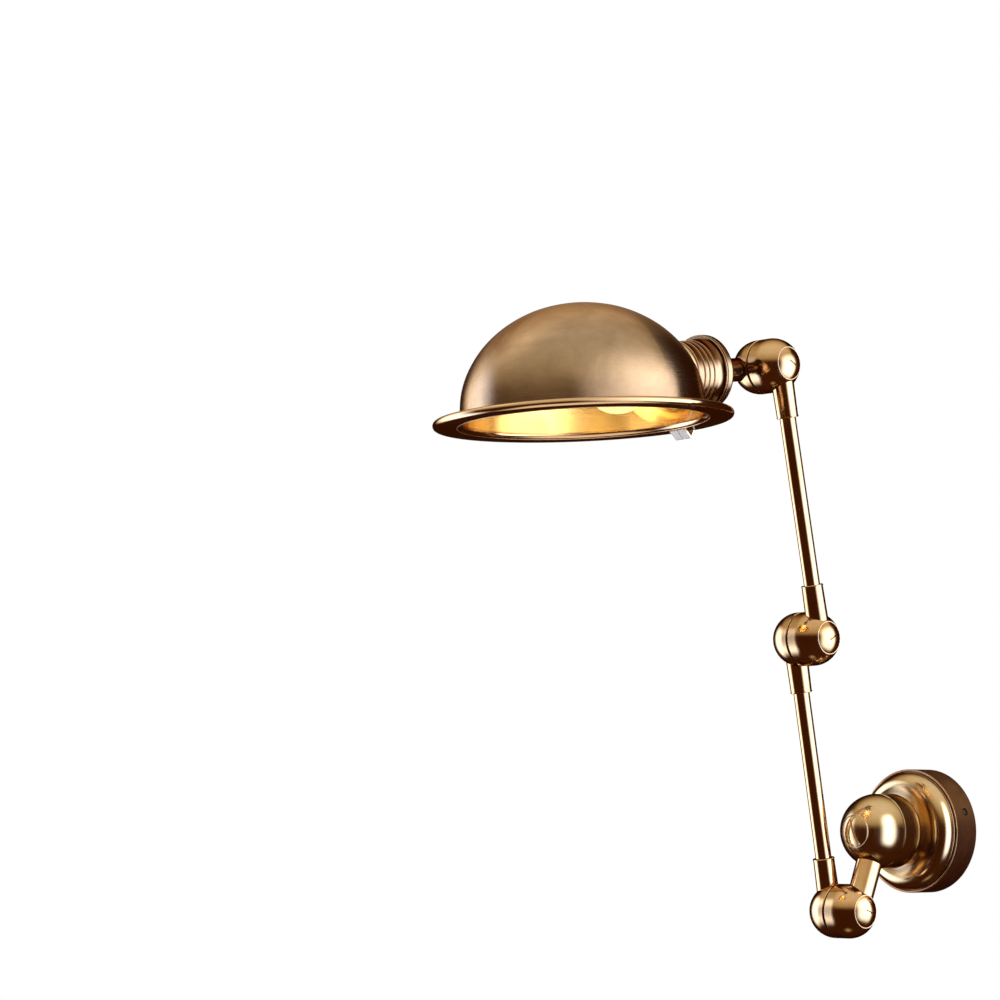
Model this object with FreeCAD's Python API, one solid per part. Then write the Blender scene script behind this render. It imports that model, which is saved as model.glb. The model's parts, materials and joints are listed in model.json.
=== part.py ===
import FreeCAD, Part
import math
import os

# Articulating wall lamp: a round wall canopy, a large swivel ball, a short link,
# three elbow balls, two arms and a domed shade on a ringed socket cup.
# Units are millimetres. The wall is the plane Y = 0 and the room is on the -Y side.
# X runs along the wall, Z is up, and the origin is the canopy's centre on the wall.

Vector = FreeCAD.Vector

# Pose at rest, in degrees
link_lean = 23.0            # link, forward of straight down
lower_arm_lean = 10.5       # lower arm, forward of straight up
upper_arm_lean = 11.5       # upper arm, forward of straight up
stem_droop = 9.0            # stem and socket cup, below level
shade_tip = 2.0             # shade rim, room side lowered
shade_turn = 1.5            # shade about the stem's line, -X side lowered

# Lengths between joints
link_length = 83.0
arm_length = 264.0
shade_reach = 230.0         # shade axis from the shade elbow, level
shade_drop = 74.0           # rim's underside below the shade elbow

# Clearances
running_gap = 0.06          # radial, a pin that turns in its bore
fixed_gap = 0.05            # radial, a tenon or thread that stays put
seam_gap = 0.25             # ring gap round a screwed-in cap
seam_break = 0.3            # broken edge on both sides of that gap

# Wall canopy
canopy_radius = 60.0
drum_depth = 29.0
drum_wall = 2.0
drum_ledge_depth = 22.0     # from the wall to the ledge that carries the cover
drum_ledge_thickness = 2.0
drum_ledge_width = 4.0
drum_edge_round = 0.6
drum_edge_break = 0.3
groove_width = 1.4          # shadow groove between drum and cover
cover_wall = 1.5
cover_shoulder_inset = 3.6  # a point of the rounded shoulder, inward from the cover's edge
cover_shoulder_rise = 8.3   # and forward from the drum's front
cover_crest_radius = 44.0
cover_crest_depth = 41.2
cover_valley_radius = 33.5
cover_valley_depth = 40.2
boss_radius = 24.0
boss_depth = 45.0
plate_thickness = 1.5
plate_rim_depth = 18.0
plate_rim_wall = 1.5
plate_to_drum_gap = 0.8
cable_hole_radius = 16.0
slot_spacing = 88.9
slot_length = 12.0
slot_radius = 2.5
set_screw_radius = 3.0
set_screw_depth = 13.2      # from the wall to the screw's axis
set_screw_angles = (18.0, 138.0, 258.0)
set_screw_sink = 1.0        # outer end below the drum's surface
hex_socket_radius = 1.75
hex_socket_depth = 1.6
earth_screw_radius = 2.0
earth_head_radius = 4.0
earth_head_height = 2.4
earth_head_round = 1.0
earth_slot = (1.0, 0.8)     # width and depth
earth_place = (-22.0, -26.0)
earth_collar_height = 2.5
block_size = (20.0, 16.0, 14.0)
block_place = (26.0, 24.0)
block_floor = 4.0           # solid part under the clamping screws
block_wire_height = 6.5     # axis of the wire holes above the block's foot
block_wire_radius = 1.8
block_screw_radius = 2.0
block_screw_length = 6.0
block_screw_gap = 0.4
block_screw_slot = (0.7, 1.0)

# Wall swivel ball
wall_ball_radius = 36.0
wall_ball_depth = 76.0      # ball centre from the wall
wall_split_offset = 1.5     # split plane in front of the ball's centre
wall_split_gap = 1.4
collar_length = 20.0        # straight part behind the ball's centre
collar_round = 5.0
neck_radius = 20.0
spigot_radius = 8.0
spigot_end_depth = 33.0
spigot_bore = 5.0
neck_nut_height = 6.0
neck_nut_corner_radius = 12.7
washer_thickness = 1.5
neck_washer_radius = 15.0
wall_cap_radius = 15.6
wall_cap_lip = 1.38
wall_cap_plug_length = 6.0
wall_cap_plug_wall = 3.0
wall_cap_crown = 6.0        # thickness under the cap's top
wall_cavity_radius = 13.0
wall_web = 7.6              # web that turns on the pivot
wall_pivot_radius = 6.0
wall_pivot_bore = 3.5
wall_pivot_grip = 13.6      # thread in the ball's rear half
wall_head_corner_radius = 11.0
wall_head_height = 4.5
coin_slot_width = 2.6
coin_slot_depth = 3.0
coin_slot_lean = 22.0       # top of the slot towards -X

# Elbow balls, all three alike
ball_radius = 26.0
ball_straight_half = 8.0
split_offset = -2.0         # split plane from the ball's middle
split_gap = 2.0             # shadow gap, filled by the friction washer further in
edge_break = 0.5
split_edge_break = 0.7      # broken edges of the split between two halves
right_stub_offset = 17.0
left_stub_offset = 15.5
elbow_cap_radius = 15.5
elbow_cap_lip = 1.07
elbow_cap_thread_radius = 13.0
elbow_cap_thread_length = 4.8
elbow_cap_wall = 2.4
elbow_cap_crown = 5.0       # thickness under the cap's top
elbow_web_end = 14.0        # end of the web that turns on the pivot
thread_web_end = 12.0       # end of the web that holds the pivot's thread
left_cavity_radius = 8.0
left_cavity_end = 22.0
pivot_radius = 5.0
pivot_bore = 3.0
pivot_head_corner_radius = 9.0
pivot_head_height = 3.5
spring_washer_thickness = 1.2
spring_washer_radius = 9.5
friction_washer_inset = 2.5
driver_slot_length = 9.0
driver_slot_width = 1.6
driver_slot_depth = 1.5
slot_turns = {"lower_elbow": 70.0, "middle_elbow": -63.0, "shade_elbow": 61.0}

# Link, ferrules, tubes and leads
link_radius_top = 12.6
link_radius_bottom = 12.4
tenon_radius = 8.6
wire_bore = 5.5
wire_way_lap = 3.0          # a wire way starts this far inside a cavity's wall
stub_lap = 10.0             # a stub is drawn this far inside the ball, then trimmed to it
link_tenon_start = 27.0     # inner end of the link's tenon in the wall ball, from the centre
tenon_start_right = 14.0    # inner end of a tenon in a right half, from the axis
tenon_start_left = 9.0
ferrule_end = 51.5          # outer end of a ferrule, from the elbow's axis
ferrule_radius_ball = 10.8
ferrule_radius_end = 10.2
ferrule_lip_radius = 10.6
ferrule_lip_length = 1.4
ferrule_lip_slope = 0.3
ferrule_lip_chamfer = 0.5
ferrule_shoulder = 2.0      # ledge that the tube's end stands on
tube_radius = 7.75
tube_wall = 1.5
tube_start = 31.0           # end of the tube inside a ferrule, from the elbow's axis
lead_radius = 1.2
lead_offset = 4.0
lead_spread = 1.45

# Stem, socket cup and lampholder, measured along the stem from the elbow's axis
stem_radius = 11.3
stem_end = 66.3
nipple_radius = 5.0
nipple_bore = 3.5
nipple_start = 50.0
nipple_end = 81.0
plate_back = 66.5
plate_front = 77.0
back_plate_radius = 35.5
back_plate_round = 4.0
back_plate_groove = (75.2, 76.2)
back_plate_groove_depth = 0.8
back_plate_web = 3.0
back_plate_seat = (3.0, 2.0)    # sloped inner corner, inward and forward
cup_back = 77.3
cup_front = 111.0
cup_radius = 30.2
cup_wall = 3.0
cup_back_radius = 32.2      # flared edge against the back plate
cup_flare_length = 5.5
cup_flare_point = (0.7, 2.6)    # a point of the flare, outward from the cup and forward from its back
cup_flare_land = 0.6
cup_edge_break = 0.5
cup_front_break = 0.6
cup_spigot_radius = 28.9
cup_spigot_start = 72.5
bead_places = (88.5, 95.0, 101.5)
bead_height = 0.9
bead_half_width = 1.2
web_back = 96.0
web_front = 100.0
nose_radius = 24.5
nose_bore = 21.0
nose_end = 120.0
cup_nut_height = 5.0
cup_nut_corner_radius = 9.5
holder_radius = 19.0
holder_edge_break = 1.0
holder_end = 132.0
holder_floor = 4.0
holder_bore = 14.6
shell_radius = 13.45
shell_start = 106.0
shell_end = 130.0
contact_radius = 4.0
contact_thickness = 0.9
holder_screw_radius = 1.5
holder_screw_head = (2.8, 2.0)  # radius and height
holder_screw_slot = (0.8, 0.8)  # width and depth
holder_screw_reach = 6.0        # thread length in the lampholder
holder_screw_offset = 16.7
holder_lead_offset = 6.0
holder_lead_gap = 0.3
shade_ring_radius = 29.0
shade_ring_height = 4.0
shade_ring_notch = (5.0, 4.0)   # a spanner notch's depth and width

# Bulb, measured along the stem
bulb_foot = 105.0
bulb_base_start = 109.5
bulb_base_end = 134.0
bulb_base_radius = 13.1
bulb_base_wall = 0.8
bulb_ridges = 6
bulb_ridge_height = 0.35
bulb_plain_rim = 4.0        # smooth part of the base above its thread
bulb_tip_points = ((3.0, 0.0), (4.0, 0.8), (5.0, 1.5))
bulb_tip_flange = 1.0
bulb_neck_radius = 12.2
bulb_centre = 188.0
bulb_radius = 31.5
bulb_wall = 0.8
bulb_neck_lap = 3.0         # glass inside the base
bulb_neck_length = 2.0      # straight glass in front of the base
bulb_meet_angle = 40.0      # where the swelling neck meets the round end

# Shade, measured from its own axis and from the rim's underside
shade_radius = 112.0
shade_skirt = 12.0          # straight part below the domed part
shade_height = 110.0
shade_wall = 1.2
dome_angles = (12, 24, 36, 48, 60, 72, 82)
dome_foot_lap = 60.0        # how far the dome is drawn below the rim, before it is trimmed
rim_radius = 137.0
rim_bead_radius = 3.6
rim_bead_lift = 3.1
rim_fillet = 4.5
neck_blend = 30.0
neck_radius_at_cup = 31.0
neck_lip_thickness = 1.2
neck_band_height = 0.8
neck_band_width = 4.5
rim_clip_width = 9.5
rim_clip_gap = 0.6
rim_clip_wall = 1.0
rim_clip_drop = 8.4
rim_clip_shift = 4.4
rim_clip_inner_gap = 1.0    # from the end of the rim's inner fillet
rim_clip_outer_gap = 2.4    # from the rim bead's middle
rim_clip_run = 8.0          # from the clip's inner end to its lowest point
rim_clip_contact = 0.02

small = 0.001


def save(shape, node):
    """Write one named piece to its own file."""
    shape.exportStep("parts/" + node + ".step")
    print(node, len(shape.Solids), round(shape.Volume))


def outline(start, steps):
    """Closed wire of (radius, along) points; a step of four numbers is an arc through its first two."""
    edges = []
    here = Vector(start[0], 0, start[1])
    for step in list(steps) + [start]:
        there = Vector(step[-2], 0, step[-1])
        if here.distanceToPoint(there) < small:
            continue
        if len(step) == 4:
            middle = Vector(step[0], 0, step[1])
            edges.append(Part.Arc(here, middle, there).toShape())
        else:
            edges.append(Part.LineSegment(here, there).toShape())
        here = there
    return Part.Wire(edges)


def turned(start, steps):
    """Solid turned about local Z from a profile of (radius, along) points."""
    face = Part.Face(outline(start, steps))
    solid = face.revolve(Vector(0, 0, 0), Vector(0, 0, 1), 360)
    return solid if solid.Volume > 0 else solid.reversed()


def ring(inner, outer, low, high):
    """Plain ring or disc about local Z."""
    return turned((inner, low), [(outer, low), (outer, high), (inner, high)])


def hexagon(corner_radius, low, high):
    """Six-sided prism about local Z."""
    angles = [math.radians(60.0 * i) for i in range(7)]
    corners = [Vector(corner_radius * math.cos(a), corner_radius * math.sin(a), low) for a in angles]
    face = Part.Face(Part.makePolygon(corners))
    return face.extrude(Vector(0, 0, high - low))


def block(size, centre):
    """Box of a given size about a centre."""
    corner = Vector(*centre) - Vector(*size) / 2
    return Part.makeBox(size[0], size[1], size[2], corner)


def placed(shape, origin, direction, side):
    """Move a shape so that local Z points along direction and local X towards side."""
    direction = Vector(direction).normalize()
    sideways = direction.cross(side).normalize()
    towards = sideways.cross(direction)
    turn = FreeCAD.Rotation(towards, sideways, direction, "ZXY")
    moved = shape.copy()
    moved.Placement = FreeCAD.Placement(origin, turn).multiply(shape.Placement)
    return moved


def forward_of_up(degrees):
    """Unit vector that leans from straight up into the room."""
    a = math.radians(degrees)
    return Vector(0, -math.sin(a), math.cos(a))


def on_ball(radius, along_centre, ring_radius):
    """Height of the point on a ball's surface at a given distance from its axis."""
    return along_centre + math.sqrt(radius ** 2 - ring_radius ** 2)


def ball_arc(radius, along_centre, end, fraction=0.5):
    """Arc step over a ball's surface from its widest circle to the ring radius end."""
    last = math.asin(end / radius)
    middle = math.radians(90) + (last - math.radians(90)) * fraction
    return (radius * math.sin(middle), along_centre + radius * math.cos(middle),
            end, along_centre + radius * math.cos(last))


# Places of the joints
across = Vector(1, 0, 0)
into_room = Vector(0, -1, 0)
up = Vector(0, 0, 1)
wall_ball = Vector(0, -wall_ball_depth, 0)
link_way = Vector(0, -math.sin(math.radians(link_lean)), -math.cos(math.radians(link_lean)))
link_foot = wall_ball + link_way * link_length
lower_elbow = link_foot - across * right_stub_offset
lower_arm_way = forward_of_up(lower_arm_lean)
middle_elbow = lower_elbow + lower_arm_way * arm_length
upper_arm_way = forward_of_up(upper_arm_lean)
shade_elbow = middle_elbow + upper_arm_way * arm_length
stem_foot = shade_elbow - across * left_stub_offset
stem_way = Vector(0, -math.cos(math.radians(stem_droop)), -math.sin(math.radians(stem_droop)))
head_turn = FreeCAD.Rotation(stem_way, shade_turn)
shade_foot = stem_foot + head_turn.multVec(Vector(0, -shade_reach, -shade_drop))
shade_up = head_turn.multVec(forward_of_up(shade_tip))


# Wall plate and canopy

drum_inner = canopy_radius - drum_wall
plate_radius = drum_inner - plate_to_drum_gap
cover_radius = drum_inner - groove_width


def wall_plate():
    """Pressed plate that is screwed to the wall box and carries the canopy on its rim."""
    rim_inner = plate_radius - plate_rim_wall
    plate = turned((cable_hole_radius, 0), [
        (plate_radius, 0), (plate_radius, plate_rim_depth), (rim_inner, plate_rim_depth),
        (rim_inner, plate_thickness), (cable_hole_radius, plate_thickness)])
    top = plate_thickness + earth_collar_height
    collar = Part.makeCylinder(earth_head_radius, top, Vector(earth_place[0], earth_place[1], 0))
    plate = plate.fuse(collar)
    hole = Part.makeCylinder(earth_screw_radius + fixed_gap, top * 3,
                             Vector(earth_place[0], earth_place[1], -top))
    plate = plate.cut(hole)
    half_run = slot_length / 2 - slot_radius
    for side in (-1, 1):
        middle = side * slot_spacing / 2
        slot = block((2 * half_run, 2 * slot_radius, plate_thickness * 4), (middle, 0, 0))
        for end in (-1, 1):
            centre = Vector(middle + end * half_run, 0, -plate_thickness * 2)
            slot = slot.fuse(Part.makeCylinder(slot_radius, plate_thickness * 4, centre))
        plate = plate.cut(slot)
    return plate.removeSplitter()


def earth_screw():
    """Slotted earthing screw in the wall plate's collar."""
    foot = plate_thickness + earth_collar_height
    top = foot + earth_head_height
    r = earth_head_radius
    width, depth = earth_slot
    screw = ring(0, earth_screw_radius, drum_edge_break, foot)
    screw = screw.fuse(turned((0, foot), [
        (r, foot), (r, top - earth_head_round), (r - earth_head_round, top), (0, top)]))
    screw = screw.cut(block((3 * r, width, 2 * depth), (0, 0, top)))
    screw.translate(Vector(earth_place[0], earth_place[1], 0))
    return screw


def terminal_block():
    """Two-way terminal block that joins the house wires to the lamp's leads."""
    length, width, height = block_size
    x, y = block_place
    body = block(block_size, (x, y, plate_thickness + height / 2))
    for side in (-1, 1):
        screw_x = x + side * length / 4
        foot = Vector(screw_x, y, plate_thickness + block_floor)
        hole_radius = block_screw_radius + block_screw_gap
        body = body.cut(Part.makeCylinder(hole_radius, height - block_floor, foot))
        start = Vector(screw_x, y - width, plate_thickness + block_wire_height)
        body = body.cut(Part.makeCylinder(block_wire_radius, 2 * width, start, Vector(0, 1, 0)))
    return body


def terminal_screws():
    """The block's two clamping screws."""
    x, y = block_place
    floor = plate_thickness + block_floor
    top = floor + block_screw_length
    width, depth = block_screw_slot
    screws = []
    for side in (-1, 1):
        screw = ring(0, block_screw_radius, floor, top)
        screw = screw.cut(block((3 * block_screw_radius, width, 2 * depth), (0, 0, top)))
        screw.translate(Vector(x + side * block_size[0] / 4, y, 0))
        screws.append(screw)
    return Part.makeCompound(screws)


def canopy_drum():
    """Ring that stands on the wall, with an inner ledge for the cover."""
    low = drum_ledge_depth
    high = drum_ledge_depth + drum_ledge_thickness
    ledge_inner = drum_inner - drum_ledge_width
    edge = drum_edge_round
    curl = edge * (1 - math.sqrt(0.5))
    drum = turned((drum_inner, 0), [
        (canopy_radius, 0), (canopy_radius, drum_depth - edge),
        (canopy_radius - curl, drum_depth - curl, canopy_radius - edge, drum_depth),
        (drum_inner + drum_edge_break, drum_depth), (drum_inner, drum_depth - drum_edge_break),
        (drum_inner, high), (ledge_inner, high), (ledge_inner, low), (drum_inner, low)])
    for angle in set_screw_angles:
        a = math.radians(angle)
        way = Vector(math.cos(a), math.sin(a), 0)
        start = way * (drum_inner - 2) + Vector(0, 0, set_screw_depth)
        drum = drum.cut(Part.makeCylinder(set_screw_radius + fixed_gap, drum_wall + 4, start, way))
    return drum


def set_screws():
    """Three headless screws that press on the wall plate's rim and lock the canopy."""
    length = canopy_radius - set_screw_sink - plate_radius
    screw = ring(0, set_screw_radius, 0, length)
    screw = screw.cut(hexagon(hex_socket_radius, length - hex_socket_depth, length + 1))
    screws = []
    for angle in set_screw_angles:
        a = math.radians(angle)
        way = Vector(math.cos(a), math.sin(a), 0)
        screws.append(placed(screw, way * plate_radius + Vector(0, 0, set_screw_depth), way, up))
    return Part.makeCompound(screws)


def canopy_cover():
    """Spun cover with a rounded shoulder, a shallow valley and a raised boss."""
    low = drum_ledge_depth + drum_ledge_thickness
    wall = cover_wall
    hole = spigot_radius + fixed_gap
    shoulder_r = cover_radius - cover_shoulder_inset
    shoulder_a = drum_depth + cover_shoulder_rise
    edge = drum_depth - edge_break
    inward = wall * math.sqrt(0.5)
    return turned((cover_radius, low), [
        (cover_radius, edge),
        (shoulder_r, shoulder_a, cover_crest_radius, cover_crest_depth),
        (cover_valley_radius, cover_valley_depth, boss_radius, boss_depth),
        (hole, boss_depth), (hole, boss_depth - wall), (boss_radius + edge_break, boss_depth - wall),
        (cover_valley_radius, cover_valley_depth - wall, cover_crest_radius, cover_crest_depth - wall),
        (shoulder_r - inward, shoulder_a - inward, cover_radius - wall, edge),
        (cover_radius - wall, low)])


# Wall swivel

wall_split_back = wall_ball_depth + wall_split_offset - wall_split_gap / 2
wall_split_front = wall_split_back + wall_split_gap


def wall_joint_base():
    """Fixed rear half of the wall ball, with its collar, neck and threaded spigot."""
    centre = wall_ball_depth
    collar_back = centre - collar_length
    split = wall_split_back
    r = wall_ball_radius
    round_mid = collar_round * (1 - math.sqrt(0.5))
    neck_back = collar_back - collar_round
    thread = wall_pivot_radius + fixed_gap
    return turned((spigot_bore, spigot_end_depth), [
        (spigot_radius, spigot_end_depth), (spigot_radius, boss_depth), (neck_radius, boss_depth),
        (neck_radius, neck_back), (r - collar_round, neck_back),
        (r - round_mid, neck_back + round_mid, r, collar_back),
        (r, split - split_edge_break), (r - split_edge_break, split), (thread, split),
        (thread, split - wall_pivot_grip), (spigot_bore, split - wall_pivot_grip)])


def wall_joint_front():
    """Turning front half of the wall ball, open in front for the cap."""
    centre = wall_ball_depth
    r = wall_ball_radius
    split = wall_split_front
    web = split + wall_web
    seat = on_ball(r, centre, wall_cap_radius)
    arc_start = split + split_edge_break
    start_r = math.sqrt(r ** 2 - (arc_start - centre) ** 2)
    seam = wall_cap_radius + seam_break
    arc = ball_arc(r, centre, seam)
    bore = wall_pivot_radius + running_gap
    thread = wall_cavity_radius + fixed_gap
    front = turned((bore, split), [
        (r - split_edge_break, split), (start_r, arc_start), arc,
        (wall_cap_radius, on_ball(r, centre, seam) - seam_break),
        (wall_cap_radius, seat - wall_cap_lip), (thread, seat - wall_cap_lip),
        (thread, web), (bore, web)])
    front = placed(front, Vector(0, 0, 0), into_room, up)
    tenon_foot = wall_ball + link_way * link_tenon_start
    wire_foot = wall_ball + link_way * (wall_cavity_radius + cover_wall)
    tenon_hole = Part.makeCylinder(tenon_radius + fixed_gap, wall_ball_radius, tenon_foot, link_way)
    wire_hole = Part.makeCylinder(wire_bore, wall_ball_radius, wire_foot, link_way)
    return front.cut(tenon_hole.fuse(wire_hole))


def wall_joint_cap():
    """Domed screw cap with a coin slot."""
    centre = wall_ball_depth
    r = wall_ball_radius
    rim = wall_cap_radius - seam_gap
    shoulder = on_ball(r, centre, wall_cap_radius) - wall_cap_lip
    top = centre + r
    edge = rim - seam_break
    half_angle = math.asin(edge / r) / 2
    edge_height = on_ball(r, centre, edge)
    plug = wall_cavity_radius
    plug_end = shoulder - wall_cap_plug_length
    plug_inner = plug - wall_cap_plug_wall
    cap = turned((0, top), [
        (r * math.sin(half_angle), centre + r * math.cos(half_angle), edge, edge_height),
        (rim, edge_height - 1.5 * seam_break), (rim, shoulder),
        (plug, shoulder), (plug, plug_end), (plug_inner, plug_end),
        (plug_inner, top - wall_cap_crown), (0, top - wall_cap_crown)])
    cap = cap.cut(block((4 * wall_cap_radius, coin_slot_width, 2 * coin_slot_depth), (0, 0, top)))
    lean = math.radians(coin_slot_lean)
    side = up * math.cos(lean) - across * math.sin(lean)
    return placed(cap, Vector(0, 0, 0), into_room, side)


def wall_pivot_bolt():
    """Hollow bolt through both halves of the wall ball."""
    head = wall_split_front + wall_web + spring_washer_thickness
    bolt = ring(0, wall_pivot_radius, wall_split_back - wall_pivot_grip, head)
    bolt = bolt.fuse(hexagon(wall_head_corner_radius, head, head + wall_head_height))
    return bolt.cut(ring(0, wall_pivot_bore, 0, 200))


def washer(inner, outer, low, thickness):
    """Flat washer about local Z."""
    return ring(inner, outer, low, low + thickness)


# Elbow balls, along local Z, which points to the right half's cap

split_left = split_offset - split_gap / 2
split_right = split_offset + split_gap / 2
elbow_seat = on_ball(ball_radius, ball_straight_half, elbow_cap_radius)
elbow_shoulder = elbow_seat - elbow_cap_lip
elbow_head = elbow_web_end + spring_washer_thickness
elbow_tip = ball_straight_half + ball_radius


def whole_elbow():
    """The ball's full outer shape, used to trim what grows out of it."""
    r = ball_radius
    h = ball_straight_half
    return turned((0, -h - r), [
        (r * math.sqrt(0.5), -h - r * math.sqrt(0.5), r, -h), (r, h),
        (r * math.sqrt(0.5), h + r * math.sqrt(0.5), 0, h + r)])


def elbow_right_half():
    """Half that turns on the pivot and holds the cap."""
    r = ball_radius
    bore = pivot_radius + running_gap
    h = ball_straight_half
    thread = elbow_cap_thread_radius + fixed_gap
    edge = split_edge_break
    seam = elbow_cap_radius + seam_break
    return turned((bore, split_right), [
        (r - edge, split_right), (r, split_right + edge), (r, h), ball_arc(r, h, seam),
        (elbow_cap_radius, on_ball(r, h, seam) - seam_break),
        (elbow_cap_radius, elbow_shoulder), (thread, elbow_shoulder),
        (thread, elbow_web_end), (bore, elbow_web_end)])


def elbow_left_half():
    """Half that holds the pivot's thread."""
    r = ball_radius
    h = ball_straight_half
    thread = pivot_radius + fixed_gap
    edge = split_edge_break
    return turned((0, -h - r), [
        (r * math.sqrt(0.5), -h - r * math.sqrt(0.5), r, -h),
        (r, split_left - edge), (r - edge, split_left), (thread, split_left),
        (thread, -thread_web_end), (left_cavity_radius, -thread_web_end),
        (left_cavity_radius, -left_cavity_end), (0, -left_cavity_end)])


def elbow_cap(turn):
    """Domed screw cap with a short driver slot."""
    r = ball_radius
    h = ball_straight_half
    rim = elbow_cap_radius - seam_gap
    edge = rim - seam_break
    half_angle = math.asin(edge / r) / 2
    edge_height = on_ball(r, h, edge)
    plug = elbow_cap_thread_radius
    plug_end = elbow_shoulder - elbow_cap_thread_length
    plug_inner = plug - elbow_cap_wall
    cap = turned((0, elbow_tip), [
        (r * math.sin(half_angle), h + r * math.cos(half_angle), edge, edge_height),
        (rim, edge_height - 1.5 * seam_break), (rim, elbow_shoulder),
        (plug, elbow_shoulder), (plug, plug_end), (plug_inner, plug_end),
        (plug_inner, elbow_tip - elbow_cap_crown), (0, elbow_tip - elbow_cap_crown)])
    slot = block((driver_slot_length, driver_slot_width, 2 * driver_slot_depth), (0, 0, elbow_tip))
    cap = cap.cut(slot)
    cap.rotate(Vector(0, 0, 0), Vector(0, 0, 1), turn)
    return cap


def elbow_pivot():
    """Hollow pivot bolt with a hexagon head."""
    bolt = ring(0, pivot_radius, -thread_web_end, elbow_head)
    bolt = bolt.fuse(hexagon(pivot_head_corner_radius, elbow_head, elbow_head + pivot_head_height))
    return bolt.cut(ring(0, pivot_bore, -100, 100))


def stub_holes(centre, offset, way, tenon_start, wire_start):
    """Seat for a tenon and the wire way behind it, square to the ball's axis."""
    foot = centre + across * offset
    seat = Part.makeCylinder(tenon_radius + fixed_gap, 2 * ball_radius, foot + way * tenon_start, way)
    wires = Part.makeCylinder(wire_bore, 2 * ball_radius, foot + way * wire_start, way)
    return seat.fuse(wires)


def build_elbow(name, centre, right_way, left_way):
    """Save the six pieces of one elbow; each way is where that half's stub points."""
    right = placed(elbow_right_half(), centre, across, up)
    wire_start = elbow_cap_thread_radius - wire_way_lap
    right = right.cut(stub_holes(centre, right_stub_offset, right_way, tenon_start_right, wire_start))
    left = placed(elbow_left_half(), centre, across, up)
    wire_start = left_cavity_radius - wire_way_lap
    left = left.cut(stub_holes(centre, -left_stub_offset, left_way, tenon_start_left, wire_start))
    save(right, name + "_right_half")
    save(left, name + "_left_half")
    save(placed(elbow_cap(slot_turns[name]), centre, across, up), name + "_cap")
    save(placed(elbow_pivot(), centre, across, up), name + "_pivot_bolt")
    inner = pivot_radius + 2 * fixed_gap
    spring = washer(inner, spring_washer_radius, elbow_web_end, spring_washer_thickness)
    friction = washer(inner, ball_radius - friction_washer_inset, split_left, split_gap)
    save(placed(spring, centre, across, up), name + "_spring_washer")
    save(placed(friction, centre, across, up), name + "_friction_washer")


# Link, ferrules, tubes and leads

def link_tube():
    """Short tapered tube from the wall ball down to the lower elbow."""
    body_start = wall_ball_radius - stub_lap
    body_end = link_length - ball_radius + stub_lap
    tenon_end = link_length - tenon_start_right
    body = turned((0, body_start), [
        (link_radius_top, body_start), (link_radius_bottom, body_end), (0, body_end)])
    body = placed(body, wall_ball, link_way, across)
    body = body.cut(Part.makeSphere(wall_ball_radius, wall_ball))
    body = body.cut(placed(whole_elbow(), lower_elbow, across, up))
    tenon = placed(ring(0, tenon_radius, link_tenon_start, tenon_end), wall_ball, link_way, across)
    bore = placed(ring(0, wire_bore, link_tenon_start - 1, tenon_end + 1), wall_ball, link_way, across)
    return body.fuse(tenon).cut(bore)


def ferrule(tenon_start):
    """Tapered socket between a ball and a tube, along local Z from the elbow's axis."""
    lip_start = ferrule_end - ferrule_lip_length
    body_start = ball_radius - stub_lap
    tube_seat = tube_radius + fixed_gap
    inner = tube_seat - ferrule_shoulder
    chamfer = ferrule_lip_chamfer
    body = turned((inner, body_start), [
        (ferrule_radius_ball, body_start), (ferrule_radius_end, lip_start),
        (ferrule_lip_radius, lip_start + ferrule_lip_slope), (ferrule_lip_radius, ferrule_end - chamfer),
        (ferrule_lip_radius - chamfer, ferrule_end), (tube_seat, ferrule_end),
        (tube_seat, tube_start), (inner, tube_start)])
    tenon = ring(0, tenon_radius, tenon_start, tube_start)
    return body, tenon


def placed_ferrule(elbow, offset, way, tenon_start):
    """Ferrule seated in one half of an elbow."""
    foot = elbow + across * offset
    body, tenon = ferrule(tenon_start)
    body = placed(body, foot, way, across)
    body = body.cut(placed(whole_elbow(), elbow, across, up))
    bore = placed(ring(0, wire_bore, tenon_start - 1, tube_start + 1), foot, way, across)
    return body.fuse(placed(tenon, foot, way, across)).cut(bore)


def build_arm(name, start_elbow, end_elbow, offset, way, tenon_start):
    """Save an arm's two ferrules, its tube and the leads inside it."""
    foot = start_elbow + across * offset
    save(placed_ferrule(start_elbow, offset, way, tenon_start), name + "_bottom_ferrule")
    save(placed_ferrule(end_elbow, offset, way * -1, tenon_start), name + "_top_ferrule")
    tube = ring(tube_radius - tube_wall, tube_radius, tube_start, arm_length - tube_start)
    save(placed(tube, foot, way, across), name + "_tube")
    leads = []
    for side in (-1, 1):
        lead = ring(0, lead_radius, tenon_start, arm_length - tenon_start)
        lead.translate(Vector(side * lead_spread, -math.sqrt(lead_offset ** 2 - lead_spread ** 2), 0))
        leads.append(placed(lead, foot, way, across))
    save(Part.makeCompound(leads), name + "_leads")


# Stem and socket cup, along local Z, which is the stem's own line

def along_stem(shape):
    """Place a piece that was drawn about the stem's line."""
    return placed(shape, stem_foot, stem_way, across)


def stem_tube():
    """Stem from the shade elbow to the back of the socket cup."""
    body = ring(0, stem_radius, ball_radius - stub_lap, stem_end)
    body = along_stem(body).cut(placed(whole_elbow(), shade_elbow, across, up))
    tenon = along_stem(ring(0, tenon_radius, tenon_start_left, ball_radius + 2))
    bore = ring(0, wire_bore, tenon_start_left - 1, nipple_start)
    thread = ring(0, nipple_radius + fixed_gap, nipple_start - 1, stem_end + 1)
    return body.fuse(tenon).cut(along_stem(bore.fuse(thread)))


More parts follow.
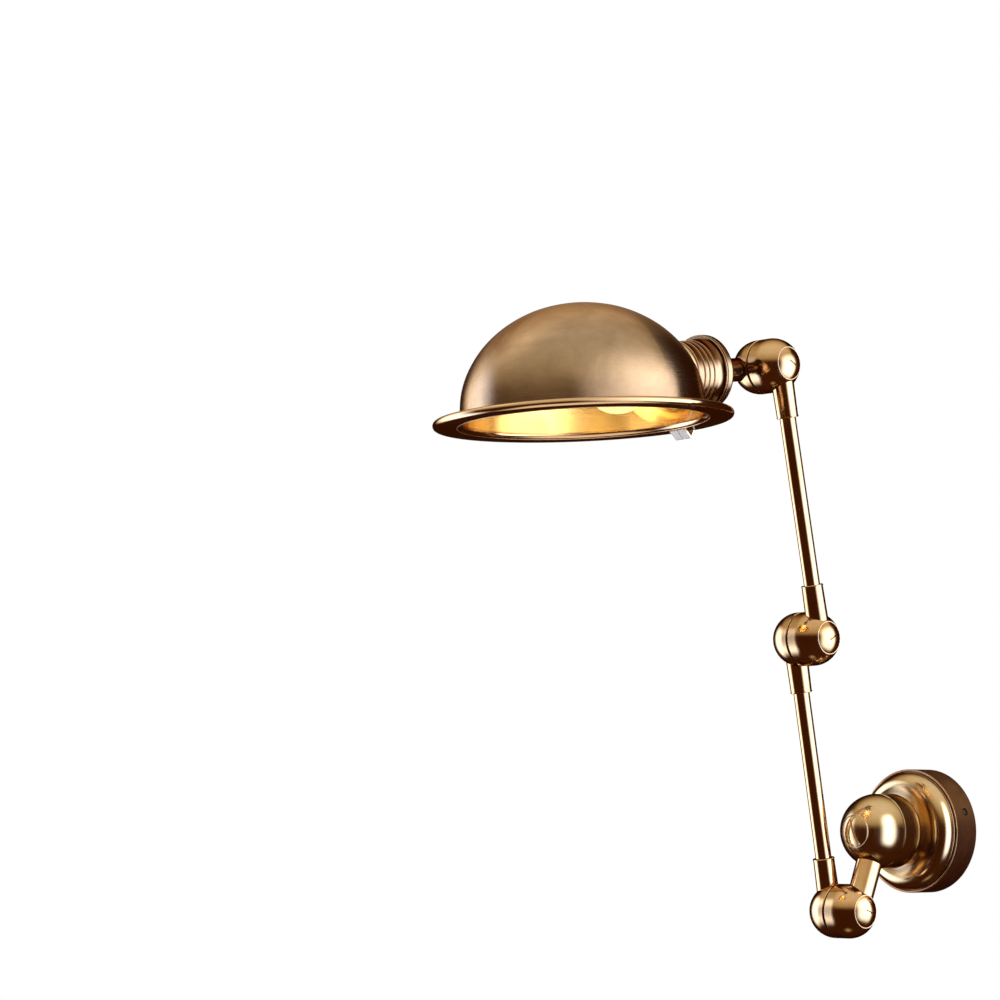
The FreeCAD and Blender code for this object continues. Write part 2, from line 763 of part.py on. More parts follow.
def cup_back_plate():
    """Round back plate that turns on the nipple."""
    r = back_plate_radius
    bore = nipple_radius + running_gap
    round_mid = back_plate_round * (1 - math.sqrt(0.5))
    seat = cup_spigot_radius + fixed_gap
    inner = plate_back + back_plate_web
    groove_back, groove_front = back_plate_groove
    floor = r - back_plate_groove_depth
    slope_in, slope_forward = back_plate_seat
    return turned((bore, plate_back), [
        (r - back_plate_round, plate_back),
        (r - round_mid, plate_back + round_mid, r, plate_back + back_plate_round),
        (r, groove_back), (floor, groove_back), (floor, groove_front), (r, groove_front),
        (r, plate_front - edge_break), (r - edge_break, plate_front), (seat, plate_front),
        (seat, inner + slope_forward), (seat - slope_in, inner), (bore, inner)])


def socket_cup():
    """Ringed cup that carries the lampholder inside and the shade on its nose."""
    inner = cup_radius - cup_wall
    flare_out, flare_forward = cup_flare_point
    spigot_inner = inner - 1.0
    steps = [(nose_radius, nose_end), (nose_radius, cup_front), (cup_radius - cup_front_break, cup_front),
             (cup_radius, cup_front - cup_front_break)]
    for place in reversed(bead_places):
        steps += [(cup_radius, place + bead_half_width),
                  (cup_radius + bead_height, place, cup_radius, place - bead_half_width)]
    flare_end = cup_back + cup_flare_land
    steps += [(cup_radius, cup_back + cup_flare_length),
              (cup_radius + flare_out, cup_back + flare_forward, cup_back_radius, flare_end),
              (cup_back_radius - cup_edge_break, cup_back), (cup_spigot_radius, cup_back),
              (cup_spigot_radius, cup_spigot_start), (spigot_inner, cup_spigot_start),
              (spigot_inner, cup_back), (inner, cup_back), (inner, web_back),
              (wire_bore, web_back), (wire_bore, web_front), (nose_bore, web_front)]
    cup = turned((nose_bore, nose_end), steps)
    for side in (-1, 1):
        hole = Part.makeCylinder(holder_screw_radius + fixed_gap, 3 * (web_front - web_back),
                                 Vector(0, side * holder_screw_offset, web_back - 4))
        cup = cup.cut(hole)
    return cup


def stem_nipple():
    """Hollow threaded nipple that fastens the cup to the stem."""
    return ring(nipple_bore, nipple_radius, nipple_start, nipple_end)


def cup_lock_nut():
    """Hexagon lock nut on the nipple, inside the cup."""
    low = plate_back + back_plate_web + spring_washer_thickness
    nut = hexagon(cup_nut_corner_radius, low, low + cup_nut_height)
    return nut.cut(ring(0, nipple_radius + fixed_gap, 0, 200))


# Lampholder and bulb

def lampholder_body():
    """Porcelain lampholder that stands on the cup's web."""
    floor = web_front + holder_floor
    edge = holder_edge_break
    body = turned((holder_bore, holder_end), [
        (holder_radius - edge, holder_end), (holder_radius, holder_end - edge),
        (holder_radius, web_front), (0, web_front), (0, floor), (holder_bore, floor)])
    depth = holder_screw_reach + 2.0
    for side in (-1, 1):
        foot = Vector(0, side * holder_screw_offset, web_front - 1)
        body = body.cut(Part.makeCylinder(holder_screw_radius + fixed_gap, depth, foot))
        foot = Vector(side * holder_lead_offset, 0, web_front - 1)
        body = body.cut(Part.makeCylinder(lead_radius + holder_lead_gap, depth, foot))
    return body


def lampholder_screws():
    """Two screws through the cup's web into the lampholder."""
    head_radius, head_height = holder_screw_head
    width, depth = holder_screw_slot
    low = web_back - head_height
    screws = []
    for side in (-1, 1):
        screw = ring(0, holder_screw_radius, low, web_front + holder_screw_reach)
        screw = screw.fuse(ring(0, head_radius, low, web_back))
        screw = screw.cut(block((3 * head_radius, width, 2 * depth), (0, 0, low)))
        screw.translate(Vector(0, side * holder_screw_offset, 0))
        screws.append(screw)
    return Part.makeCompound(screws)


def bulb_base():
    """Metal screw base with rounded thread ridges."""
    inner = bulb_base_radius - bulb_base_wall
    valley = bulb_base_radius - bulb_ridge_height
    pitch = (bulb_base_end - bulb_base_start - bulb_plain_rim) / bulb_ridges
    steps = [(valley, bulb_base_start)]
    for i in range(bulb_ridges):
        low = bulb_base_start + i * pitch
        steps.append((bulb_base_radius, low + pitch / 2, valley, low + pitch))
    steps += [(valley, bulb_base_end), (inner, bulb_base_end)]
    return turned((inner, bulb_base_start), steps)


def bulb_tip():
    """Insulator and centre contact that close the base."""
    inner = bulb_base_radius - bulb_base_wall - fixed_gap
    flange = bulb_tip_flange
    top = bulb_base_start + flange
    steps = [(r, bulb_foot + height) for r, height in bulb_tip_points]
    steps += [(inner - flange, bulb_base_start - seam_gap), (inner - flange, bulb_base_start),
              (inner, bulb_base_start), (inner, top), (0, top)]
    return turned((0, bulb_foot), steps)


def bulb_glass():
    """Glass envelope: a neck that swells into a round end."""
    wall = bulb_wall
    neck_end = bulb_base_end + bulb_neck_length
    start = bulb_base_end - bulb_neck_lap
    meet = math.radians(bulb_meet_angle)
    side = math.radians(25)

    def shape(inset):
        r = bulb_radius - inset
        neck = bulb_neck_radius - inset
        ball_point = (r * math.cos(meet), bulb_centre - r * math.sin(meet))
        middle = (neck + (ball_point[0] - neck) * 0.36, neck_end + (ball_point[1] - neck_end) * 0.52)
        return neck, middle, ball_point, r

    neck, middle, ball_point, r = shape(0)
    neck_in, middle_in, ball_point_in, r_in = shape(wall)
    return turned((neck_in, start), [
        (neck, start), (neck, neck_end), middle + ball_point,
        (r * math.cos(side), bulb_centre + r * math.sin(side), 0, bulb_centre + r),
        (0, bulb_centre + r_in),
        (r_in * math.cos(side), bulb_centre + r_in * math.sin(side)) + ball_point_in,
        middle_in + (neck_in, neck_end)])


# Shade, along local Z from the rim's underside

def dome_profile(radius, top, low):
    """Curve from the skirt's foot to the crown, straight up and then elliptical."""
    rise = top - shade_skirt
    points = [Vector(radius, 0, low), Vector(radius, 0, shade_skirt / 2)]
    for degrees in dome_angles:
        a = math.radians(degrees)
        points.append(Vector(radius * math.cos(a), 0, shade_skirt + rise * math.sin(a)))
    points.append(Vector(0, 0, top))
    curve = Part.BSplineCurve()
    curve.interpolate(Points=points, InitialTangent=Vector(0, 0, 1), FinalTangent=Vector(-1, 0, 0))
    return curve.toShape()


def dome_solid(radius, top):
    """Solid dome with its foot carried well below the rim."""
    low = -dome_foot_lap
    edge = dome_profile(radius, top, low)
    lines = [Part.LineSegment(Vector(0, 0, top), Vector(0, 0, low)).toShape(),
             Part.LineSegment(Vector(0, 0, low), Vector(radius, 0, low)).toShape()]
    return Part.Face(Part.Wire([edge] + lines)).revolve(Vector(0, 0, 0), Vector(0, 0, 1), 360)


def blended(dome, neck, blend):
    """Join dome and neck and round the line where they meet."""
    joined = dome.fuse(neck)
    meeting = []
    for edge in joined.Edges:
        middle = edge.valueAt((edge.FirstParameter + edge.LastParameter) / 2)
        on_dome = dome.distToShape(Part.Vertex(middle))[0] < 0.01
        on_neck = neck.distToShape(Part.Vertex(middle))[0] < 0.01
        if on_dome and on_neck:
            meeting.append(edge)
    return joined.makeFillet(blend, meeting)


def shade():
    """Thin spun dome with a flared rim, a rolled bead and a neck that fits the cup's nose."""
    dome_out = dome_solid(shade_radius, shade_height)
    dome_in = dome_solid(shade_radius - shade_wall, shade_height - shade_wall)
    dome_out = placed(dome_out, shade_foot, shade_up, across)
    dome_in = placed(dome_in, shade_foot, shade_up, across)
    neck_out = along_stem(ring(0, neck_radius_at_cup, cup_front, bulb_centre))
    inner = neck_radius_at_cup - shade_wall
    neck_in = along_stem(ring(0, inner, cup_front + neck_lip_thickness, bulb_centre))
    outside = blended(dome_out, neck_out, neck_blend)
    inside = blended(dome_in, neck_in, neck_blend + shade_wall)
    mouth = along_stem(ring(0, nose_radius + fixed_gap * 2, cup_front - 5, cup_front + 5))
    shell = outside.cut(inside).cut(mouth)
    edge = neck_radius_at_cup
    peak = cup_front + neck_band_width / 2
    band = turned((edge - 0.5, cup_front), [
        (edge, cup_front), (edge + neck_band_height, peak, edge, cup_front + neck_band_width),
        (edge - 0.5, cup_front + neck_band_width)])
    shell = shell.fuse(along_stem(band))
    low = ring(0, 2 * shade_radius, -dome_foot_lap - 1, rim_fillet)
    shell = shell.cut(placed(low, shade_foot, shade_up, across))
    return shell.fuse(placed(shade_rim(), shade_foot, shade_up, across)).removeSplitter()


def shade_rim():
    """Flared flange with a rolled outer bead."""
    inner = shade_radius - shade_wall
    flare = inner + rim_fillet
    curl = 1 - math.sqrt(0.5)
    bead = rim_radius - rim_bead_radius
    small_fillet = rim_fillet - shade_wall
    under = math.sqrt(rim_bead_radius ** 2 - rim_bead_lift ** 2)
    over = math.sqrt(rim_bead_radius ** 2 - (rim_bead_lift - shade_wall) ** 2)
    quarter = rim_bead_radius * math.sqrt(0.5)
    return turned((flare, 0), [
        (bead - under, 0),
        (bead + quarter, rim_bead_lift + quarter, bead - over, shade_wall),
        (flare, shade_wall),
        (shade_radius + small_fillet * curl, shade_wall + small_fillet * curl, shade_radius, rim_fillet),
        (inner, rim_fillet),
        (inner + rim_fillet * curl, rim_fillet * curl, flare, 0)])


def shade_ring():
    """Threaded ring that clamps the shade's neck on the cup's nose."""
    low = cup_front + neck_lip_thickness
    high = low + shade_ring_height
    body = ring(nose_radius + fixed_gap, shade_ring_radius, low, high)
    depth, width = shade_ring_notch
    for side in (-1, 1):
        notch = block((depth, width, shade_ring_height), (side * shade_ring_radius, 0, high))
        body = body.cut(notch)
    return body


def rim_clip():
    """Folded seam clip under the wall side of the rim, in two plates."""
    inner = shade_radius + rim_fillet + rim_clip_inner_gap
    outer = rim_radius - rim_bead_radius - rim_clip_outer_gap
    wall = rim_clip_wall
    low = -rim_clip_drop
    middle = inner + rim_clip_run
    top = -rim_clip_contact
    edge = -wall * 0.9
    points = [(inner, top), (inner, edge), (middle - wall * 0.6, low), (middle + wall, low),
              (outer, edge), (outer, top), (outer - wall * 1.5, top),
              (middle + wall * 0.2, low + wall * 1.3), (inner + wall * 1.6, top)]
    plates = []
    for side in (-1, 1):
        start = rim_clip_shift + side * (rim_clip_gap + rim_clip_width) / 2 - rim_clip_width / 2
        wire = Part.makePolygon([Vector(start, r, z) for r, z in points + [points[0]]])
        plate = Part.Face(wire).extrude(Vector(rim_clip_width, 0, 0))
        plates.append(placed(plate, shade_foot, shade_up, across))
    return Part.makeCompound(plates)


def from_wall(shape):
    """Place a piece that was drawn about the canopy's axis, measured from the wall."""
    return placed(shape, Vector(0, 0, 0), into_room, across)


def build_wall_group():
    """Save the wall plate, canopy and wall swivel."""
    save(from_wall(wall_plate()), "wall_plate")
    save(from_wall(earth_screw()), "earth_screw")
    save(from_wall(terminal_block()), "terminal_block")
    save(from_wall(terminal_screws()), "terminal_screws")
    save(from_wall(canopy_drum()), "canopy_drum")
    save(from_wall(set_screws()), "canopy_set_screws")
    save(from_wall(canopy_cover()), "canopy_cover")
    save(from_wall(wall_joint_base()), "wall_joint_base")
    under = boss_depth - cover_wall - washer_thickness
    under_cover = washer(spigot_radius + fixed_gap, neck_washer_radius, under, washer_thickness)
    save(from_wall(under_cover), "neck_washer")
    nut = hexagon(neck_nut_corner_radius, under - neck_nut_height, under)
    save(from_wall(nut.cut(ring(0, spigot_radius + fixed_gap, 0, 100))), "neck_nut")
    save(from_wall(wall_pivot_bolt()), "wall_joint_pivot_bolt")
    inner = wall_pivot_radius + 2 * fixed_gap
    friction = washer(inner, wall_ball_radius - friction_washer_inset, wall_split_back, wall_split_gap)
    save(from_wall(friction), "wall_joint_friction_washer")
    spring = washer(inner, wall_head_corner_radius + 1.0, wall_split_front + wall_web,
                    spring_washer_thickness)
    save(from_wall(spring), "wall_joint_spring_washer")
    save(wall_joint_front(), "wall_joint_front")
    save(wall_joint_cap(), "wall_joint_cap")


def build_head_group():
    """Save the stem, socket cup, lampholder, bulb and shade."""
    save(stem_tube(), "stem_tube")
    save(along_stem(stem_nipple()), "stem_nipple")
    save(along_stem(cup_lock_nut()), "cup_lock_nut")
    inner = nipple_radius + 2 * fixed_gap
    low = plate_back + back_plate_web
    spring = washer(inner, spring_washer_radius, low, spring_washer_thickness)
    save(along_stem(spring), "cup_spring_washer")
    save(along_stem(cup_back_plate()), "cup_back_plate")
    save(along_stem(socket_cup()), "socket_cup")
    save(along_stem(lampholder_body()), "lampholder_body")
    save(along_stem(lampholder_screws()), "lampholder_screws")
    shell = ring(shell_radius, holder_bore - fixed_gap, shell_start, shell_end)
    save(along_stem(shell), "lampholder_shell")
    floor = web_front + holder_floor
    contact = ring(0, contact_radius, floor, floor + contact_thickness)
    save(along_stem(contact), "lampholder_contact")
    save(along_stem(bulb_base()), "bulb_base")
    save(along_stem(bulb_tip()), "bulb_tip")
    save(along_stem(bulb_glass()), "bulb_glass")
    save(along_stem(shade_ring()), "shade_ring")
    save(shade(), "shade")
    save(rim_clip(), "rim_clip")


os.makedirs("parts", exist_ok=True)
build_wall_group()
save(link_tube(), "link_tube")
build_elbow("lower_elbow", lower_elbow, link_way * -1, lower_arm_way)
build_elbow("middle_elbow", middle_elbow, upper_arm_way, lower_arm_way * -1)
build_elbow("shade_elbow", shade_elbow, upper_arm_way * -1, stem_way)
build_arm("lower_arm", lower_elbow, middle_elbow, -left_stub_offset, lower_arm_way, tenon_start_left)
build_arm("upper_arm", middle_elbow, shade_elbow, right_stub_offset, upper_arm_way, tenon_start_right)
build_head_group()
joints = {"wall ball": wall_ball, "lower elbow": lower_elbow, "middle elbow": middle_elbow,
          "shade elbow": shade_elbow, "stem foot": stem_foot, "shade foot": shade_foot}
for label, point in joints.items():
    print(label, [round(v, 3) for v in point])
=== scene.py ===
# %% [markdown]
# # Articulating wall lamp in aged brass
# A domed brass shade hangs from two arms with three ball elbows, and a larger swivel ball
# carries everything on a round wall canopy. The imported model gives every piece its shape
# and place. This script gives the pieces their finishes, adds the fine rolled edges that
# make turned brass look like turned brass, and sets up a small photo studio.
# Units are metres. The wall is the plane Y = 0, the room is on the -Y side, X runs along
# the wall and Z is up.

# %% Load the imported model
import json
import math

import bpy
from mathutils import Matrix, Vector


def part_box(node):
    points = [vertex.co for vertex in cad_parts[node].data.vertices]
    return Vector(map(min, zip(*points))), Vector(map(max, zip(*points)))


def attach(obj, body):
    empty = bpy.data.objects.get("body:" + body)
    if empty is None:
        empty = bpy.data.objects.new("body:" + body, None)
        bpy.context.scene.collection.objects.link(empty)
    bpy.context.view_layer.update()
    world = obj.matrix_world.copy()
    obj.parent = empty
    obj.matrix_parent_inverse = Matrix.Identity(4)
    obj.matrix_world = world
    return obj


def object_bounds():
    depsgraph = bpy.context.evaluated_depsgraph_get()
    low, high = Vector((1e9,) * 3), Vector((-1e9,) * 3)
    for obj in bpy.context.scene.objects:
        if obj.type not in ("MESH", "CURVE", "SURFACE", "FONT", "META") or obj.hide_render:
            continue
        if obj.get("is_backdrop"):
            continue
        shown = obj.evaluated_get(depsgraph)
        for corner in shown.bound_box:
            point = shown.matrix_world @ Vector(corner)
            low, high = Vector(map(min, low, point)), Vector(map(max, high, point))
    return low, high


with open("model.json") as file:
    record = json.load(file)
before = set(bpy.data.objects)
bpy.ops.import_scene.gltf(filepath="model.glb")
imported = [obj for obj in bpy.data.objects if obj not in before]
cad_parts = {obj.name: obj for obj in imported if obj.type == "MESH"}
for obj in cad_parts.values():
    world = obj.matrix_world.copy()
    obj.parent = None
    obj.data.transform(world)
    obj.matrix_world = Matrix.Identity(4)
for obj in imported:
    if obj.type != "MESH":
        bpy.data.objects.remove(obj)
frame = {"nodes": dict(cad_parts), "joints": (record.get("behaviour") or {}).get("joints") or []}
nodes = frame["nodes"]
slot_of = {name: node.data.materials[0].name for name, node in nodes.items()}
cad_box = [list(corner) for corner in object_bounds()]
scene = bpy.context.scene
print("pieces in the packed model:", len(nodes))

# %% [markdown]
# ## Places on the lamp
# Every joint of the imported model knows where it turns. Those points place everything that
# follows, so nothing has to be measured twice. Four of them are the middles of the balls,
# and the fifth is the foot of the shade's stem.

# %% Joint centres and directions
UP = Vector((0, 0, 1))
ACROSS = Vector((1, 0, 0))
INTO_ROOM = Vector((0, -1, 0))
MM = 0.001
joint_of = {joint["name"]: joint for joint in frame["joints"]}
centre_of = {name: Vector(joint["pos_m"]) for name, joint in joint_of.items()}
ball_of = {
    "wall_joint": centre_of["wall_swivel"],
    "lower_elbow": centre_of["lower_elbow"],
    "middle_elbow": centre_of["middle_elbow"],
    "shade_elbow": centre_of["shade_tilt"],
}
stem_foot = centre_of["shade_turn"]
stem_way = Vector(joint_of["shade_turn"]["axis"]).normalized()
for name, place in ball_of.items():
    print(name, [round(value, 4) for value in place])

# %% [markdown]
# ## Camera
# The lamp is seen at a slant from the room's side, from a little below the middle of the
# arms. A short lens close to the lamp would swell the shade and shrink the canopy. A long
# lens further away keeps the perspective weak, as in a catalogue picture.

# %% Camera
CAMERA_PLACE = (1.9561, -2.3632, 0.0098)
FOCAL_LENGTH_MM = 110.68
SENSOR_WIDTH_MM = 36.0
camera_way = Vector((-0.7333, 0.6720, 0.1038)).normalized()
lens = bpy.data.cameras.new("studio_camera")
lens.lens = FOCAL_LENGTH_MM
lens.sensor_width = SENSOR_WIDTH_MM
camera = bpy.data.objects.new("studio_camera", lens)
scene.collection.objects.link(camera)
camera.location = CAMERA_PLACE
camera.rotation_euler = camera_way.to_track_quat("-Z", "Y").to_euler()
scene.camera = camera
print("the camera looks along", [round(value, 3) for value in camera_way])

# %% [markdown]
# ## Shader nodes by hand
# A procedural finish is a small net of shader nodes. These helpers add one node, a colour
# ramp or a new material, and wire two nodes together. Every finish below is built on them.

# %% Node helpers


def add(tree, kind, **values):
    """Add a shader node and set its plain properties and its inputs by name."""
    node = tree.nodes.new("ShaderNode" + kind)
    for name, value in values.items():
        title = name.replace("_", " ").title()
        if title in node.inputs:
            node.inputs[title].default_value = value
        else:
            setattr(node, name, value)
    return node


def wire(tree, source, output, target, entry):
    """Connect an output of one node to an input of another."""
    tree.links.new(source.outputs[output], target.inputs[entry])


def ramp(tree, stops):
    """Add a colour ramp with stops of (place, colour)."""
    node = tree.nodes.new("ShaderNodeValToRGB")
    elements = node.color_ramp.elements
    while len(elements) < len(stops):
        elements.new(0.5)
    for element, (place, colour) in zip(elements, stops):
        element.position = place
        element.color = (*colour, 1.0)
    return node


def start_material(name):
    """A new material: its node tree with one shader wired to the output."""
    material = bpy.data.materials.new(name)
    material.use_nodes = True
    tree = material.node_tree
    tree.nodes.clear()
    shader = add(tree, "BsdfPrincipled")
    out = add(tree, "OutputMaterial")
    wire(tree, shader, "BSDF", out, "Surface")
    return material, tree, shader


# %% [markdown]
# ## Room
# Polished brass is mostly a picture of the room round it, so the room comes before the
# metal. Real walls could be built, but a ramp of tones by height is simpler and mirrors as
# well. It is nearly black-brown up to eye height, warm and pale towards the ceiling, and
# the ceiling comes down lower on the camera's side than behind the lamp. A dark curtain
# hangs on the right, behind the softboxes: there the dark tones reach further up. The
# camera sees plain white past the lamp.

# %% Room tones by height
scene.view_settings.view_transform = "Standard"
ROOM_TONES = [
    (0.000, (0.055, 0.015, 0.003)),
    (0.560, (0.050, 0.013, 0.002)),  # dark room up to eye height
    (0.620, (0.20, 0.12, 0.06)),
    (0.680, (0.46, 0.35, 0.20)),
    (0.760, (0.60, 0.49, 0.31)),
    (0.880, (0.78, 0.68, 0.50)),    # lighter ceiling
    (1.000, (0.84, 0.76, 0.62)),
]
BEHIND_FULL = 0.6            # cosine to straight behind from which the tones sit higher
BEHIND_SHIFT = 0.42          # how much higher, where floor to ceiling is 2
CURTAIN_BEARING = 140        # degrees from the camera's side, to its right
CURTAIN_EDGE = (0.55, 0.72)  # cosines to the curtain's middle where it starts and is full
CURTAIN_SHIFT = 0.6
TOWARDS_CAMERA = -Vector((camera_way.x, camera_way.y, 0)).normalized()
CURTAIN_WAY = Matrix.Rotation(math.radians(CURTAIN_BEARING), 3, "Z") @ TOWARDS_CAMERA
room = bpy.data.worlds.new("studio_room")
scene.world = room
room.use_nodes = True
tree = room.node_tree
tree.nodes.clear()
direction = add(tree, "TexCoord")
parts = add(tree, "SeparateXYZ")
behind = add(tree, "VectorMath", operation="DOT_PRODUCT")
behind.inputs[1].default_value = -TOWARDS_CAMERA
sink = add(tree, "MapRange", from_min=0.0, from_max=BEHIND_FULL,
           to_min=0.0, to_max=BEHIND_SHIFT)
curtain = add(tree, "VectorMath", operation="DOT_PRODUCT")
curtain.inputs[1].default_value = CURTAIN_WAY
curtain_sink = add(tree, "MapRange", from_min=CURTAIN_EDGE[0], from_max=CURTAIN_EDGE[1],
                   to_min=0.0, to_max=CURTAIN_SHIFT)
deepest = add(tree, "Math", operation="MAXIMUM")
level = add(tree, "Math", operation="SUBTRACT")
height = add(tree, "MapRange", from_min=-1.0, from_max=1.0)
tones = ramp(tree, ROOM_TONES)
room_light = add(tree, "Background", strength=1.0)
white = add(tree, "Background", color=(1, 1, 1, 1), strength=1.0)
ray = add(tree, "LightPath")
either = add(tree, "MixShader")
world_out = add(tree, "OutputWorld")
wire(tree, direction, "Generated", parts, "Vector")
wire(tree, direction, "Generated", behind, 0)
wire(tree, behind, "Value", sink, "Value")
wire(tree, direction, "Generated", curtain, 0)
wire(tree, curtain, "Value", curtain_sink, "Value")
wire(tree, sink, "Result", deepest, 0)
wire(tree, curtain_sink, "Result", deepest, 1)
wire(tree, parts, "Z", level, 0)
wire(tree, deepest, "Value", level, 1)
wire(tree, level, "Value", height, "Value")
wire(tree, height, "Result", tones, "Fac")
wire(tree, tones, "Color", room_light, "Color")
wire(tree, ray, "Is Camera Ray", either, "Fac")
wire(tree, room_light, "Background", either, 1)
wire(tree, white, "Background", either, 2)
wire(tree, either, "Shader", world_out, "Surface")
print("room tones from floor to ceiling:", len(ROOM_TONES))

# %% [markdown]
# ## Soft lights
# A large softbox stands on each side. A plain area light is evenly bright and its mirror
# image on brass has hard edges. A real softbox is bright in the middle and fades towards
# its cloth edges, and those soft edges make highlights look round, so each light here fades
# by its own surface coordinates. A small warm patch on the floor draws the thin line along
# the underside of the tubes and balls.

# %% Softboxes
lamp_middle = Vector((0.0, -0.25, 0.17))
DAYLIGHT = (0.86, 0.95, 1.12)
EVEN_FADE = (0.3, 0.3, 0.3, 0.3)


def soft_light(name, bearing, lift, distance, size, radiance, colour=DAYLIGHT,
               fade=EVEN_FADE, target=lamp_middle):
    """A softbox round the lamp: bearing 0 is the camera's side, 90 is on its right.

    fade is how far the left, right, lower and upper edges fade, as parts of the whole.
    """
    way = Matrix.Rotation(math.radians(bearing), 3, "Z") @ TOWARDS_CAMERA
    way = way * math.cos(math.radians(lift)) + UP * math.sin(math.radians(lift))
    data = bpy.data.lights.new(name, "AREA")
    data.shape = "RECTANGLE"
    data.size, data.size_y = size
    data.energy = math.pi * size[0] * size[1]
    data.color = colour
    data.use_nodes = True
    tree = data.node_tree
    tree.nodes.clear()
    surface = add(tree, "NewGeometry")
    sides = add(tree, "SeparateXYZ")
    wire(tree, surface, "Parametric", sides, "Vector")
    glow = add(tree, "Value")
    glow.outputs[0].default_value = radiance
    output = "Value"
    for side, edge, flip in (("X", fade[0], False), ("X", fade[1], True),
                             ("Y", fade[2], False), ("Y", fade[3], True)):
        ends = (1.0, 1.0 - edge) if flip else (0.0, edge)
        soft = add(tree, "MapRange", interpolation_type="SMOOTHSTEP",
                   from_min=ends[0], from_max=ends[1])
        both = add(tree, "Math", operation="MULTIPLY")
        wire(tree, sides, side, soft, "Value")
        wire(tree, soft, "Result", both, 0)
        wire(tree, glow, output, both, 1)
        glow, output = both, "Value"
    lamp = add(tree, "Emission")
    out = add(tree, "OutputLight")
    wire(tree, glow, "Value", lamp, "Strength")
    wire(tree, lamp, "Emission", out, "Surface")
    light = bpy.data.objects.new(name, data)
    scene.collection.objects.link(light)
    light.location = target + way * distance
    light.rotation_euler = (-way).to_track_quat("-Z", "Y").to_euler()
    light.visible_camera = False
    print(name, "at bearing", bearing)
    return light


soft_light("left_softbox", -115, -6, 1.8, (2.2, 3.4), 3.0, fade=(0.35, 0.45, 0.3, 0.3))
soft_light("floor_patch", 0, -90, 1.6, (0.7, 0.7), 0.5, (0.95, 0.80, 0.55), fade=(0.5,) * 4)

# %% [markdown]
# The shade, the arms and the canopy stand at different depths, and the studio lights each
# from its own place on the right. Two weaker lights touch only the shade: one below its
# rim, and one above and behind the dome. One softbox for all would put its image in the
# wrong place on two of the three groups, so light linking keeps each light on its own.

# %% Lights for one group each
CANOPY_GROUP = ("canopy_drum", "canopy_cover", "canopy_set_screws", "wall_joint_base",
                "wall_joint_front", "wall_joint_cap", "wall_joint_friction_washer")
SHADE_GROUP = ("shade", "rim_clip")
groups = {name: bpy.data.collections.new(name + "_group")
          for name in ("canopy", "shade", "arms")}
for name, node in nodes.items():
    group = "canopy" if name in CANOPY_GROUP else "shade" if name in SHADE_GROUP else "arms"
    groups[group].objects.link(node)
shade_heart = Vector((-0.03, -0.44, 0.40))
GROUP_LIGHTS = (  # group, name, bearing, lift, distance, size, radiance, colour, fade, target
    ("arms", "arm_softbox", 68, 0, 1.8, (3.6, 3.6), 3.2,
     DAYLIGHT, (0.45, 0.3, 0.35, 0.35), lamp_middle),
    ("canopy", "canopy_softbox", 34, 0, 1.8, (2.2, 4.6), 3.2,
     DAYLIGHT, (0.5, 0.4, 0.3, 0.3), lamp_middle),
    ("shade", "shade_softbox", 43, 16, 1.6, (4.4, 3.4), 2.8,
     (1.0, 1.0, 1.0), (0.85, 0.07, 0.05, 0.5), shade_heart),
    ("shade", "rim_floor_light", 0, -72, 1.5, (3.0, 2.4), 1.0,
     (1.0, 0.90, 0.74), (0.25, 0.25, 0.25, 0.25), shade_heart),
    ("shade", "shade_top_light", 205, 48, 2.0, (4.6, 2.8), 0.75,
     (1.0, 0.92, 0.78), EVEN_FADE, shade_heart),
)
for group, *facts in GROUP_LIGHTS:
    soft_light(*facts).light_linking.receiver_collection = groups[group]

# %% [markdown]
# ## Floor
# The floor is a plain pale disc, lower than the lamp reaches with its arms hanging down. A
# lit floor would colour the brass from below, so the disc glows by itself instead: the
# camera sees it, and neither mirrored nor bounced rays do.

# %% Floor
FLOOR_LEVEL = -1.1
FLOOR_RADIUS = 4.0
bpy.ops.object.select_all(action="DESELECT")
bpy.ops.mesh.primitive_circle_add(vertices=96, radius=FLOOR_RADIUS, fill_type="NGON",
                                  location=(0, 0, FLOOR_LEVEL))
floor = bpy.context.object
floor.name = "floor"
floor.visible_glossy = False
floor.visible_diffuse = False
floor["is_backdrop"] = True
pale, tree, shader = start_material("pale_floor")
shader.inputs["Base Color"].default_value = (0.08, 0.08, 0.08, 1)
shader.inputs["Roughness"].default_value = 1.0
place = add(tree, "TexCoord")
cloud = add(tree, "TexNoise", scale=1.2, detail=3.0)
tone = ramp(tree, [(0.3, (0.80, 0.80, 0.79)), (0.7, (0.84, 0.84, 0.83))])
wire(tree, place, "Object", cloud, "Vector")
wire(tree, cloud, "Fac", tone, "Fac")
wire(tree, tone, "Color", shader, "Emission Color")
shader.inputs["Emission Strength"].default_value = 1.0
floor.data.materials.append(pale)
print("floor at height", round(floor.location.z, 2))

# %% [markdown]
# ## Aged brass
# All brass on the lamp is one recipe in several strengths. The colour wanders slowly
# between a lighter and a darker tone, with small tarnish specks. Lathe marks run round the
# axis that the piece was turned on, so they are noise that reads only the distance from
# that axis and the height along it. They vary the roughness and raise a very slight bump.
# Old lacquer dims the mirror where the surface turns away, so the edge tone is dark.

# %% Brass recipe
SPECK_SCALE = 24     # how many times finer the specks are than the patches
SPECK_DEPTH = 0.45   # a speck's tone, as a part of the darker tone
QUARTER_TURN = 0.25


